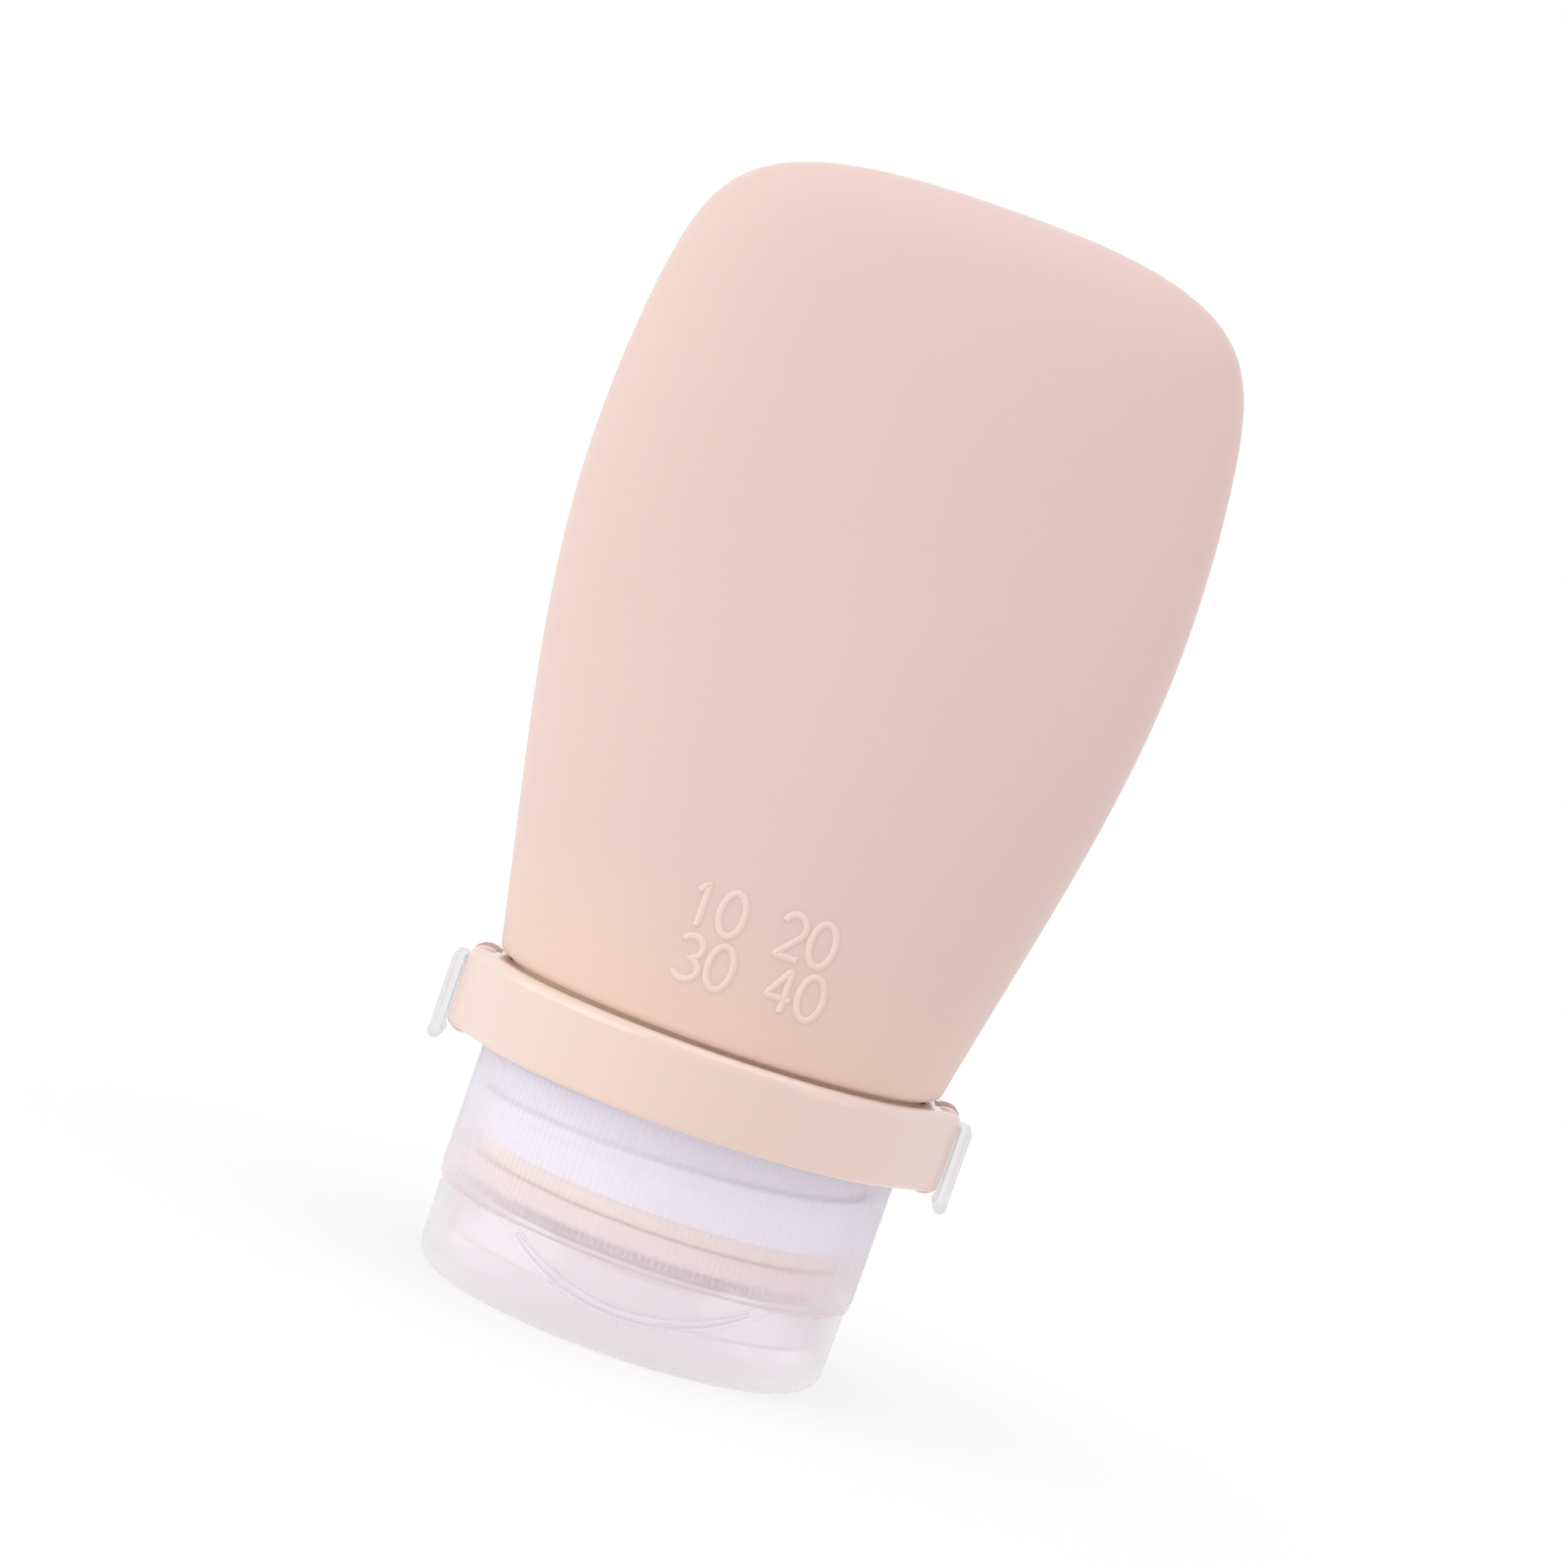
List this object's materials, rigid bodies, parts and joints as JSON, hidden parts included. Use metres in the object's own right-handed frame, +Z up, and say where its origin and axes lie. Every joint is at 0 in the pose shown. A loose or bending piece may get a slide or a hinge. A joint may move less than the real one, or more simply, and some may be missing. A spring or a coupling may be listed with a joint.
{
  "type": "travel silicone bottle",
  "caption": "Soft silicone squeeze bottle standing on a clear screw cap with a hinged flip lid, a slit valve and a swivelling collar with gated carry loops.",
  "frame": {"origin": "centre of the flip lid's flat outer face, which the bottle stands on", "axes": "+Z up the bottle's axis towards its soft closed end, X across its width and through both carry loops, -Y the front with the thumb scoop, +Y the lid's hinge"},
  "size_m": [0.0553, 0.0426, 0.1039],
  "materials": {
    "body_silicone": "soft matte silicone, faintly translucent",
    "seal_silicone": "satin silicone",
    "collar_plastic": "satin moulded plastic",
    "clear_plastic": "frosted clear moulded plastic",
    "gate_plastic": "frosted clear moulded plastic",
    "sleeve_plastic": "milky clear moulded plastic"
  },
  "bodies": {
    "bottle": {"squeeze_body": "body_silicone", "neck_sleeve": "sleeve_plastic"},
    "collar": {"loop_collar": "collar_plastic"},
    "gate_left": {"gate_left": "gate_plastic"},
    "gate_right": {"gate_right": "gate_plastic"},
    "seal": {"neck_gasket": "seal_silicone"},
    "cap": {"cap_shell": "clear_plastic", "slit_valve": "seal_silicone", "valve_retainer": "sleeve_plastic"},
    "lid": {"flip_lid": "clear_plastic"}
  },
  "joints": [
    {"name": "collar_turn", "type": "hinge", "parent": "bottle", "child": "collar", "pos_m": [0, 0, 0.0241], "axis": [0, 0, 1], "continuous": true},
    {"name": "gate_left_swing", "type": "hinge", "parent": "collar", "child": "gate_left", "pos_m": [-0.0215, 0, 0.0266], "axis": [0, 1, 0], "range_deg": [0, 90]},
    {"name": "gate_right_swing", "type": "hinge", "parent": "collar", "child": "gate_right", "pos_m": [0.0215, 0, 0.0266], "axis": [0, -1, 0], "range_deg": [0, 90]},
    {"name": "cap_lift", "type": "slide", "parent": "bottle", "child": "seal", "axis": [0, 0, -1], "range_m": [0, 0.0101]},
    {"name": "cap_turn", "type": "hinge", "parent": "seal", "child": "cap", "pos_m": [0, 0, 0.0159], "axis": [0, 0, -1], "range_deg": [0, 900]},
    {"name": "lid_hinge", "type": "hinge", "parent": "cap", "child": "lid", "pos_m": [0, 0.0201, 0.0078], "axis": [1, 0, 0], "range_deg": [0, 150]}
  ],
  "couplings": [
    {"joint": "cap_lift", "follows": "cap_turn", "m_per_rad": 0.00063662}
  ]
}
